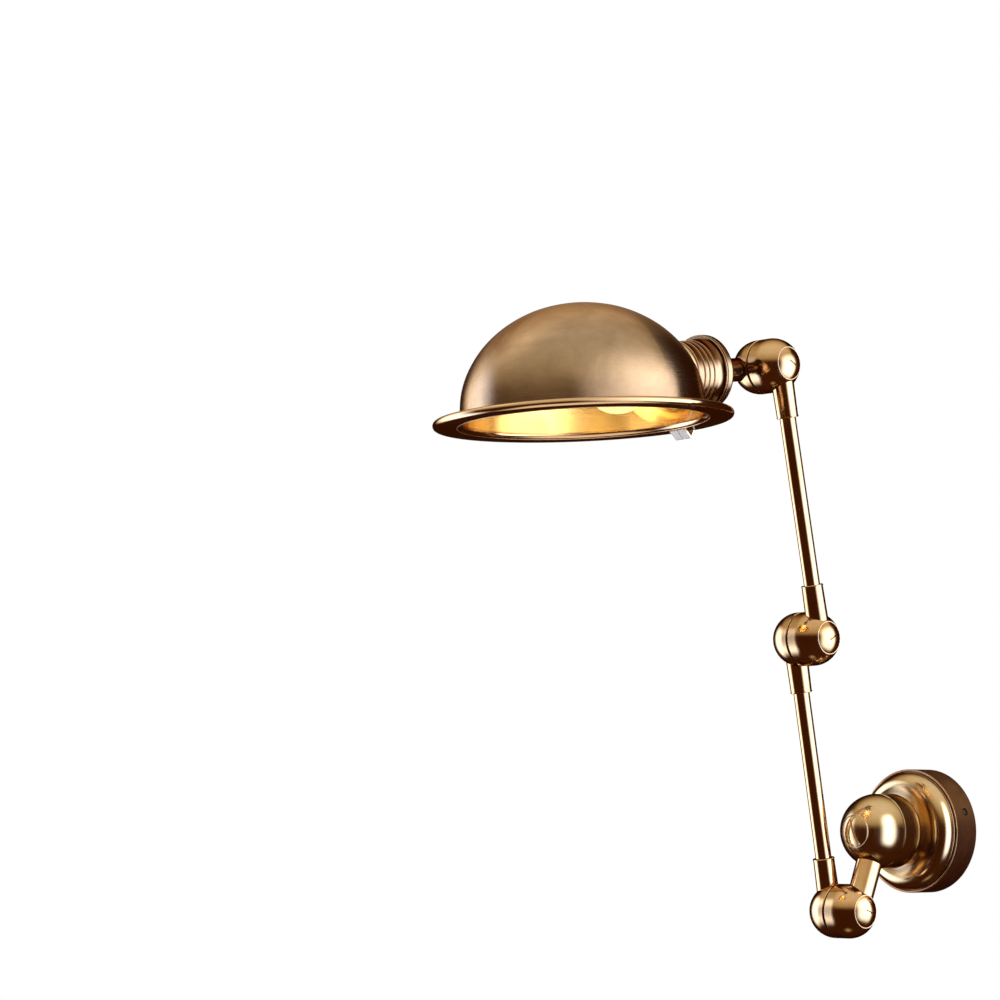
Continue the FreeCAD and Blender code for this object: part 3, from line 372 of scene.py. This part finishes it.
def turning_marks(tree, axis_point, axis_way, grain):
    """Noise that runs in rings round an axis."""
    place = add(tree, "TexCoord")
    moved = add(tree, "VectorMath", operation="SUBTRACT")
    moved.inputs[1].default_value = axis_point
    turned = add(tree, "VectorRotate", rotation_type="EULER_XYZ")
    turned.inputs["Rotation"].default_value = axis_way.rotation_difference(UP).to_euler()
    parts = add(tree, "SeparateXYZ")
    flat = add(tree, "CombineXYZ")
    reach = add(tree, "VectorMath", operation="LENGTH")
    mark = add(tree, "CombineXYZ")
    noise = add(tree, "TexNoise", scale=grain, detail=3.0, roughness=0.6)
    wire(tree, place, "Object", moved, 0)
    wire(tree, moved, "Vector", turned, "Vector")
    wire(tree, turned, "Vector", parts, "Vector")
    wire(tree, parts, "X", flat, "X")
    wire(tree, parts, "Y", flat, "Y")
    wire(tree, flat, "Vector", reach, 0)
    wire(tree, reach, "Value", mark, "X")
    wire(tree, parts, "Z", mark, "Y")
    wire(tree, mark, "Vector", noise, "Vector")
    return noise


def tarnish(tree, light, dark, patch, speck):
    """Brass colour: slow patches between two tones, with small darker specks."""
    place = add(tree, "TexCoord")
    patches = add(tree, "TexNoise", scale=patch, detail=5.0, roughness=0.62, distortion=0.4)
    patch_tone = ramp(tree, [(0.30, dark), (0.62, light)])
    specks = add(tree, "TexNoise", scale=patch * SPECK_SCALE, detail=2.0, roughness=0.5)
    speck_tone = ramp(tree, [(0.60, (0, 0, 0)), (0.72, (1, 1, 1))])
    strength = add(tree, "Math", operation="MULTIPLY")
    strength.inputs[1].default_value = speck
    colour = add(tree, "Mix", data_type="RGBA")
    colour.inputs["B"].default_value = (*[SPECK_DEPTH * value for value in dark], 1)
    wire(tree, place, "Object", patches, "Vector")
    wire(tree, place, "Object", specks, "Vector")
    wire(tree, patches, "Fac", patch_tone, "Fac")
    wire(tree, specks, "Fac", speck_tone, "Fac")
    wire(tree, speck_tone, "Color", strength, 0)
    wire(tree, strength, "Value", colour, "Factor")
    wire(tree, patch_tone, "Color", colour, "A")
    return colour


def brass(name, tones, roughness, axis_point, axis_way, grain=900.0, spread=0.05,
          bump=0.02, patch=22.0, speck=0.2, stretch=0.0, edge_tone=(0.22, 0.10, 0.05)):
    """Aged brass for a piece that was turned on an axis."""
    material, tree, shader = start_material(name)
    shader.inputs["Metallic"].default_value = 1.0
    colour = tarnish(tree, *tones, patch, speck)
    marks = turning_marks(tree, axis_point, axis_way, grain)
    rough = add(tree, "MapRange", from_min=0.3, from_max=0.7,
                to_min=roughness - spread, to_max=roughness + spread)
    raised = add(tree, "Bump", strength=bump, distance=0.001)
    wire(tree, colour, "Result", shader, "Base Color")
    wire(tree, marks, "Fac", rough, "Value")
    wire(tree, rough, "Result", shader, "Roughness")
    wire(tree, marks, "Fac", raised, "Height")
    wire(tree, raised, "Normal", shader, "Normal")
    shader.inputs["Specular Tint"].default_value = (*edge_tone, 1)
    if stretch:
        shader.inputs["Anisotropic"].default_value = stretch
        shader.inputs["Anisotropic Rotation"].default_value = QUARTER_TURN
        tangent = add(tree, "Tangent", direction_type="RADIAL", axis="Z")
        wire(tree, tangent, "Tangent", shader, "Tangent")
    return material


def finish_node(material, *names):
    """Give CAD nodes a material in all their slots."""
    for name in names:
        for index in range(len(nodes[name].data.materials)):
            nodes[name].data.materials[index] = material
    print(material.name, "on", len(names), "nodes")


# %% [markdown]
# ## Polished pieces
# The balls, caps, ferrules, tubes, stem and socket cup are lacquered while still bright, so
# they mirror the room sharply. One material for all would run its rings the wrong way on
# most of them. Each piece was turned on its own axis, so each gets the recipe with that
# axis. The first group is the arms' elbows and tubes, with the link.

# %% Polished brass on the arms
POLISHED = ((0.80, 0.55, 0.31), (0.70, 0.44, 0.22))
for elbow in ("lower_elbow", "middle_elbow", "shade_elbow"):
    ball_brass = brass(elbow + "_brass", POLISHED, 0.13, ball_of[elbow], ACROSS)
    finish_node(ball_brass, elbow + "_right_half", elbow + "_left_half", elbow + "_cap")
arm_of = {
    "lower_arm": (ball_of["lower_elbow"], ball_of["middle_elbow"]),
    "upper_arm": (ball_of["middle_elbow"], ball_of["shade_elbow"]),
}
for arm, (foot, head) in arm_of.items():
    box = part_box(arm + "_tube")
    way = (head - foot).normalized()
    foot = Vector(((box[0][0] + box[1][0]) / 2, foot.y, foot.z))
    arm_brass = brass(arm + "_brass", POLISHED, 0.12, foot, way)
    finish_node(arm_brass, arm + "_tube", arm + "_bottom_ferrule", arm + "_top_ferrule")
link_way = ball_of["lower_elbow"] - ball_of["wall_joint"]
link_way.x = 0
link_brass = brass("link_brass", POLISHED, 0.14, ball_of["wall_joint"], link_way.normalized())
finish_node(link_brass, "link_tube")

# %% [markdown]
# The socket cup and its stem are a browner brass than the arms. The canopy's cover and the
# swivel ball on it are a little yellower and less sharply polished.

# %% Polished brass at both ends
UMBER = ((0.52, 0.36, 0.21), (0.40, 0.25, 0.14))
CANOPY_TONES = ((0.80, 0.60, 0.36), (0.68, 0.49, 0.27))
WALL_POINT = Vector((0, 0, 0))
cup_brass = brass("cup_brass", UMBER, 0.14, stem_foot, stem_way)
finish_node(cup_brass, "socket_cup", "cup_back_plate", "stem_tube")
canopy_brass = brass("canopy_brass", CANOPY_TONES, 0.16, WALL_POINT, INTO_ROOM)
finish_node(canopy_brass, "canopy_cover", "wall_joint_base", "wall_joint_front", "wall_joint_cap")

# %% [markdown]
# The upper side of the socket cup is painted a dark red-brown, and its sides keep the plain
# cup brass. This is painted shade: it stands in for the dark room that the upper side
# mirrors. It could be painted on by height, but the cup lies at a slant, so the painted shade
# follows how far the surface looks up.

# %% Painted shade on the upper side of the socket cup
# Painted shade: a dark red-brown for the dark room that the cup's upper side mirrors.
PAINTED_TOP_SHADE = (0.17, 0.065, 0.030)
TOP_SHADE_STARTS, TOP_SHADE_FULL = 0.05, 0.45  # how far up the surface looks, from 0 to 1
tree = cup_brass.node_tree
shader = next(node for node in tree.nodes if node.type == "BSDF_PRINCIPLED")
cup_tone = shader.inputs["Base Color"].links[0].from_node
place = add(tree, "TexCoord")
facing = add(tree, "SeparateXYZ")
upward = add(tree, "MapRange", from_min=TOP_SHADE_STARTS, from_max=TOP_SHADE_FULL)
painted_top_shade = add(tree, "Mix", data_type="RGBA")
painted_top_shade.inputs["B"].default_value = (*PAINTED_TOP_SHADE, 1)
wire(tree, place, "Normal", facing, "Vector")
wire(tree, facing, "Z", upward, "Value")
wire(tree, upward, "Result", painted_top_shade, "Factor")
wire(tree, cup_tone, "Result", painted_top_shade, "A")
wire(tree, painted_top_shade, "Result", shader, "Base Color")
print("patina on the socket cup")

# %% [markdown]
# ## Dark drum
# The drum behind the cover is bronzed dark brown and brushed round its axis. It is the
# same recipe with darker tones, coarser marks and more roughness, so it shows only a dim,
# broad highlight.

# %% Dark bronzed brass
BRONZED = ((0.64, 0.37, 0.20), (0.31, 0.16, 0.08))
drum_brass = brass("drum_bronze", BRONZED, 0.34, WALL_POINT, INTO_ROOM,
                   grain=700.0, spread=0.08, bump=0.04)
finish_node(drum_brass, "canopy_drum")

# %% [markdown]
# ## Shade
# The spun shade is satin outside: fine marks run round it, and they stretch every
# highlight up and down, which is what an anisotropic shader does. Inside it is bright
# golden brass. The two sides could be two pieces, but one material does both. It compares
# the surface's direction with the direction from the middle of the dome. The two agree
# outside and are opposed inside.

# %% Satin outside, gold inside
SATIN = ((0.50, 0.36, 0.24), (0.37, 0.255, 0.165))
GOLD = (0.95, 0.75, 0.40)
shade_low, shade_high = (Vector(corner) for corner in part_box("shade"))
dome_heart = Vector((stem_foot.x, (shade_low.y + shade_high.y) / 2, shade_low.z))
shade_brass = brass("shade_satin_brass", SATIN, 0.25, dome_heart, UP, grain=1400.0, spread=0.03,
                    bump=0.02, patch=26.0, speck=0.15, stretch=0.8, edge_tone=(0.5, 0.35, 0.25))
tree = shade_brass.node_tree
shader = next(node for node in tree.nodes if node.type == "BSDF_PRINCIPLED")
outer_colour = shader.inputs["Base Color"].links[0].from_node
place = add(tree, "TexCoord")
outward = add(tree, "VectorMath", operation="SUBTRACT")
outward.inputs[1].default_value = dome_heart
facing = add(tree, "VectorMath", operation="DOT_PRODUCT")
inside = add(tree, "Math", operation="LESS_THAN")
inside.inputs[1].default_value = 0.0
gold = add(tree, "Mix", data_type="RGBA")
gold.inputs["B"].default_value = (*GOLD, 1)
wire(tree, place, "Object", outward, 0)
wire(tree, place, "Normal", facing, 0)
wire(tree, outward, "Vector", facing, 1)
wire(tree, facing, "Value", inside, 0)
wire(tree, inside, "Value", gold, "Factor")
wire(tree, outer_colour, "Result", gold, "A")
print("the dome's middle is at", [round(value, 4) for value in dome_heart])

# %% [markdown]
# The flared rim is polished brighter than the dome above it. It is the same sheet of metal,
# so a piece of its own would show a seam. Instead the finish changes by height above the
# shade's foot, measured along the shade's own axis, which leans a little.

# %% Polished rim
RIM_BRASS = (0.74, 0.52, 0.32)
RIM_ROUGHNESS = 0.14
RIM_STARTS, RIM_FULL = 6.5 * MM, 5.0 * MM  # heights above the foot
shade_up = Vector((-0.0260, -0.0349, 0.9990))
shade_foot = Vector((-31.529, -439.176, 367.890)) * MM
satin_rough = shader.inputs["Roughness"].links[0].from_node
off_foot = add(tree, "VectorMath", operation="SUBTRACT")
off_foot.inputs[1].default_value = shade_foot
rim_near = add(tree, "VectorMath", operation="DOT_PRODUCT")
rim_near.inputs[1].default_value = shade_up
rim_part = add(tree, "MapRange", from_min=RIM_STARTS, from_max=RIM_FULL)
rim_tone = add(tree, "Mix", data_type="RGBA")
rim_tone.inputs["B"].default_value = (*RIM_BRASS, 1)
rim_gloss = add(tree, "Mix", data_type="FLOAT")
rim_gloss.inputs["B"].default_value = RIM_ROUGHNESS
wire(tree, place, "Object", off_foot, 0)
wire(tree, off_foot, "Vector", rim_near, 0)
wire(tree, rim_near, "Value", rim_part, "Value")
wire(tree, rim_part, "Result", rim_tone, "Factor")
wire(tree, gold, "Result", rim_tone, "A")
wire(tree, rim_tone, "Result", shader, "Base Color")
wire(tree, rim_part, "Result", rim_gloss, "Factor")
wire(tree, satin_rough, "Result", rim_gloss, "A")
wire(tree, rim_gloss, "Result", shader, "Roughness")
finish_node(shade_brass, "shade")

# %% [markdown]
# ## Fine rolled edges
# Turned brass has a small rounded edge wherever a part ends: beside the dark split of each
# ball, round each screw cap, on both sides of the canopy's groove, on the socket cup's rings
# and back plate, at the end of the shade's neck and round its mouth. Each catches light from
# every side and shows as a thin pale line. The beads are also given a paler brass than the
# pieces they sit on, a painted highlight that keeps each line pale. An edge could be bevelled
# in place, but a bead of its own is easier to follow: a small circle spun round an axis.

# %% Spin one bead
# Paler than the polished brass, with a pale edge tone: a painted highlight on every bead.
BEAD_HIGHLIGHT_TONES = ((0.90, 0.68, 0.46), (0.80, 0.58, 0.36))
BEAD_SIDES = 12
BEAD_STEPS = 128
bead_highlight_brass = brass("bead_highlight_brass", BEAD_HIGHLIGHT_TONES, 0.3, WALL_POINT, UP, edge_tone=(0.8, 0.6, 0.45))
print("pale brass for the beads:", bead_highlight_brass.name)


def spin_bead(name, radius, thickness):
    """A round bead about the Z axis through the origin."""
    bpy.ops.object.select_all(action="DESELECT")
    bpy.ops.mesh.primitive_circle_add(vertices=BEAD_SIDES, radius=thickness,
                                      location=(radius, 0, 0), rotation=(math.pi / 2, 0, 0))
    bead = bpy.context.object
    bead.name = name
    bpy.ops.object.transform_apply(location=True, rotation=True, scale=True)
    bpy.ops.object.mode_set(mode="EDIT")
    bpy.ops.mesh.select_all(action="SELECT")
    bpy.ops.mesh.spin(steps=BEAD_STEPS, angle=math.tau, center=(0, 0, 0), axis=(0, 0, 1))
    bpy.ops.mesh.select_all(action="SELECT")
    bpy.ops.mesh.remove_doubles(threshold=1e-6)
    bpy.ops.mesh.normals_make_consistent(inside=False)
    bpy.ops.object.mode_set(mode="OBJECT")
    bpy.ops.object.shade_smooth()
    bead.data.materials.append(bead_highlight_brass)
    return bead


def choose(piece):
    """Select one piece and nothing else."""
    bpy.ops.object.select_all(action="DESELECT")
    piece.select_set(True)
    bpy.context.view_layer.objects.active = piece


def settle(piece, centre, way, body, group):
    """Turn a piece from the Z axis to a direction, set it at its centre and let it ride."""
    choose(piece)
    turn = way.to_track_quat("Z", "Y").to_matrix().to_4x4()
    piece.matrix_world = Matrix.Translation(centre) @ turn
    bpy.ops.object.transform_apply(location=True, rotation=True, scale=True)
    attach(piece, body)
    groups[group].objects.link(piece)
    print(piece.name, "at", [round(value, 4) for value in centre])


def copy_of(piece, name):
    """A copy with its own mesh."""
    choose(piece)
    bpy.ops.object.duplicate(linked=False)
    copy = bpy.context.object
    copy.name = name
    return copy


# %% [markdown]
# The three elbows are alike, so each of their two beads is spun once and copied. The split
# bead sits just on the left of each ball's middle, and the cap bead on its right face.

# %% Beads on the elbow balls
ELBOWS = {"lower_elbow": "wall_link", "middle_elbow": "upper_arm", "shade_elbow": "upper_arm"}
ELBOW_BEADS = (  # name, radius, distance to the right of the ball's middle
    ("split_bead", 25.5, -0.5),
    ("cap_bead", 15.6, 28.7),
)
BEAD_THICKNESS = 0.5 * MM
patterns = [(spin_bead("elbow_" + name, radius * MM, BEAD_THICKNESS), name, right)
            for name, radius, right in ELBOW_BEADS]
for elbow, body in ELBOWS.items():
    for pattern, name, right in patterns:
        settle(copy_of(pattern, elbow + "_" + name), ball_of[elbow] + ACROSS * right * MM,
               ACROSS, body, "arms")
for pattern, name, right in patterns:
    bpy.data.objects.remove(pattern)

# %% [markdown]
# The swivel ball turns on the axis out of the wall, and the canopy was turned on it too. Its
# beads differ in size, so a short table gives them one by one.

# %% Beads on the canopy and the swivel ball
CANOPY_BEADS = (  # name, radius, distance from the wall, body
    ("wall_joint_cap_bead", 15.7, 108.3, "wall_link"),
    ("wall_joint_split_bead", 35.4, 78.8, "wall_link"),
    ("drum_front_bead", 59.4, 28.4, "wall_mount"),
    ("cover_edge_bead", 56.3, 28.9, "wall_mount"),
)
for name, radius, depth, body in CANOPY_BEADS:
    settle(spin_bead(name, radius * MM, BEAD_THICKNESS), INTO_ROOM * depth * MM, INTO_ROOM,
           body, "canopy")

# %% [markdown]
# The socket cup's beads lie along the stem's axis. The last bead goes round the shade's
# mouth, on the shade's own axis.

# %% Beads on the socket cup and round the shade's mouth
CUP_BEADS = (  # name, radius, distance from the shade elbow, thickness
    ("back_plate_groove_bead", 35.3, 74.6, 0.4),
    ("back_plate_front_bead", 34.9, 76.9, 0.4),
    ("cup_ring_bead_1", 31.05, 88.5, 0.35),
    ("cup_ring_bead_2", 31.05, 95.0, 0.35),
    ("cup_ring_bead_3", 31.05, 101.5, 0.35),
    ("neck_end_bead", 31.5, 110.6, 0.5),
)
MOUTH_RADIUS = 114.6 * MM
MOUTH_BEAD_THICKNESS = 0.7 * MM
MOUTH_BEAD_HEIGHT = 0.4  # above the shade's foot
for name, radius, reach, thickness in CUP_BEADS:
    settle(spin_bead(name, radius * MM, thickness * MM), stem_foot + stem_way * reach * MM,
           stem_way, "shade_head", "arms")
settle(spin_bead("shade_mouth_bead", MOUTH_RADIUS, MOUTH_BEAD_THICKNESS),
       shade_foot + shade_up * MOUTH_BEAD_HEIGHT * MM, shade_up, "shade_head", "shade")

# %% [markdown]
# The set screws sit below the drum's surface. The near-black ring round each screw's pale end
# is painted shade: it stands in for the shade down in the hole round the screw.

# %% Dark rings round the set screws
SCREW_ANGLES = (18, 138, 258)  # degrees up from the right, round the drum
RING_RADIUS = 3.2 * MM
RING_THICKNESS = 0.6 * MM
RING_FROM_AXIS = 59.7
RING_FROM_WALL = 13.2
# Painted shade: near-black tones for the rings where the holes round the set screws lie in shade.
PAINTED_HOLE_SHADE = ((0.05, 0.025, 0.012), (0.025, 0.012, 0.006))
hole_shade_finish = brass("screw_hole_painted_shade", PAINTED_HOLE_SHADE, 0.4, WALL_POINT, INTO_ROOM,
                    edge_tone=(0.1, 0.05, 0.03))
for number, degrees in enumerate(SCREW_ANGLES, start=1):
    way = ACROSS * math.cos(math.radians(degrees)) + UP * math.sin(math.radians(degrees))
    hole_ring = spin_bead("set_screw_ring_%d" % number, RING_RADIUS, RING_THICKNESS)
    hole_ring.data.materials[0] = hole_shade_finish
    settle(hole_ring, way * RING_FROM_AXIS * MM + INTO_ROOM * RING_FROM_WALL * MM, way,
           "wall_mount", "canopy")

# %% [markdown]
# ## Everything that isn't lamp brass
# The inside of the lamp is ordinary electrical hardware: zinc plated screws, nuts, washers
# and wall plate, bright brass contacts, glazed porcelain, and small plastic parts. None of
# it is one flat colour on a real lamp. Plating and glaze cloud a little, and moulded nylon
# is slightly uneven, so one recipe gives two close tones, uneven gloss and a slight bump,
# and a table gives each material slot of the model its own. The friction washers are nearly
# black, which is what draws the dark split of every ball.

# %% Plain finishes by material slot


def mottled(name, light, dark, roughness, metallic=0.0, scale=420.0, bump=0.008):
    """A plain finish with two close tones, uneven gloss and a slight bump."""
    material, tree, shader = start_material(name)
    shader.inputs["Metallic"].default_value = metallic
    place = add(tree, "TexCoord")
    cloud = add(tree, "TexNoise", scale=scale, detail=4.0, roughness=0.6)
    tone = ramp(tree, [(0.35, dark), (0.65, light)])
    gloss = add(tree, "MapRange", from_min=0.3, from_max=0.7,
                to_min=0.8 * roughness, to_max=1.2 * roughness)
    raised = add(tree, "Bump", strength=bump, distance=0.001)
    wire(tree, place, "Object", cloud, "Vector")
    wire(tree, cloud, "Fac", tone, "Fac")
    wire(tree, tone, "Color", shader, "Base Color")
    wire(tree, cloud, "Fac", gloss, "Value")
    wire(tree, gloss, "Result", shader, "Roughness")
    wire(tree, cloud, "Fac", raised, "Height")
    wire(tree, raised, "Normal", shader, "Normal")
    return material


PLAIN = {  # slot: name, lighter tone, darker tone, roughness, metallic
    "zinc_steel": ("zinc_plated_steel", (0.36, 0.37, 0.38), (0.26, 0.27, 0.28), 0.42, 1.0),
    "bright_brass": ("bright_brass", (0.90, 0.68, 0.36), (0.80, 0.57, 0.27), 0.24, 1.0),
    "nickel_shell": ("nickel_plate", (0.93, 0.88, 0.80), (0.84, 0.78, 0.69), 0.28, 1.0),
    "porcelain": ("glazed_porcelain", (0.88, 0.86, 0.81), (0.80, 0.78, 0.72), 0.16, 0.0),
    "lead_insulation": ("lead_sleeve", (0.78, 0.74, 0.64), (0.66, 0.61, 0.51), 0.55, 0.0),
    "nylon": ("dark_nylon", (0.010, 0.009, 0.008), (0.005, 0.004, 0.004), 0.55, 0.0),
    "black_plastic": ("black_moulding", (0.035, 0.034, 0.032), (0.020, 0.019, 0.018),
                      0.42, 0.0),
    "bulb_insulator": ("dark_glass_insulator", (0.060, 0.045, 0.060), (0.020, 0.015, 0.025),
                       0.15, 0.0),
}
for slot, (name, light_tone, dark_tone, roughness, metallic) in PLAIN.items():
    finish_node(mottled(name, light_tone, dark_tone, roughness, metallic),
                *[node for node in nodes if slot_of[node] == slot])

# %% [markdown]
# ## Lit bulb
# The frosted bulb glows pale yellow. A glow strong enough to light the shade would burn out
# to white, so the glass only looks lit, and a small warm light inside it does the work.
# The glass casts no shadow, as frosted glass lets the light through. The light rides with
# the shade as a piece would, so that it stays in the bulb when the lamp moves.

# %% Bulb
BULB_REACH = 0.188  # the globe's middle from the shade elbow
FILAMENT_WATTS = 1.0
glow, tree, shader = start_material("lit_frosted_glass")
shader.inputs["Base Color"].default_value = (0.9, 0.85, 0.6, 1)
shader.inputs["Roughness"].default_value = 0.5
place = add(tree, "TexCoord")
frost = add(tree, "TexNoise", scale=60.0, detail=3.0)
warmth = ramp(tree, [(0.3, (0.93, 0.74, 0.20)), (0.7, (0.96, 0.84, 0.30))])
wire(tree, place, "Object", frost, "Vector")
wire(tree, frost, "Fac", warmth, "Fac")
wire(tree, warmth, "Color", shader, "Emission Color")
shader.inputs["Emission Strength"].default_value = 1.0
finish_node(glow, "bulb_glass")
nodes["bulb_glass"].visible_shadow = False
filament = bpy.data.lights.new("filament_light", "POINT")
filament.energy = FILAMENT_WATTS
filament.color = (1.0, 0.80, 0.46)
filament.shadow_soft_size = 0.022
filament_light = bpy.data.objects.new("filament_light", filament)
scene.collection.objects.link(filament_light)
filament_light.location = stem_foot + stem_way * BULB_REACH
filament_light.visible_camera = False
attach(filament_light, "shade_head")
print("light in the bulb at", [round(value, 4) for value in filament_light.location])

# %% [markdown]
# ## Sizes
# The finishes and beads add pieces round the imported model. The looks may not make the
# lamp bigger, since the imported model is what the sizes were checked on. The sizes of the
# box round it and of the box round the finished lamp are printed side by side, in
# millimetres.

# %% Print the two boxes and finish
visual_box = [list(corner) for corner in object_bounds()]
for title, corners in (("packed", cad_box), ("finished", visual_box)):
    print(title, [round(1000 * (high - low), 2) for low, high in zip(*corners)], "mm")
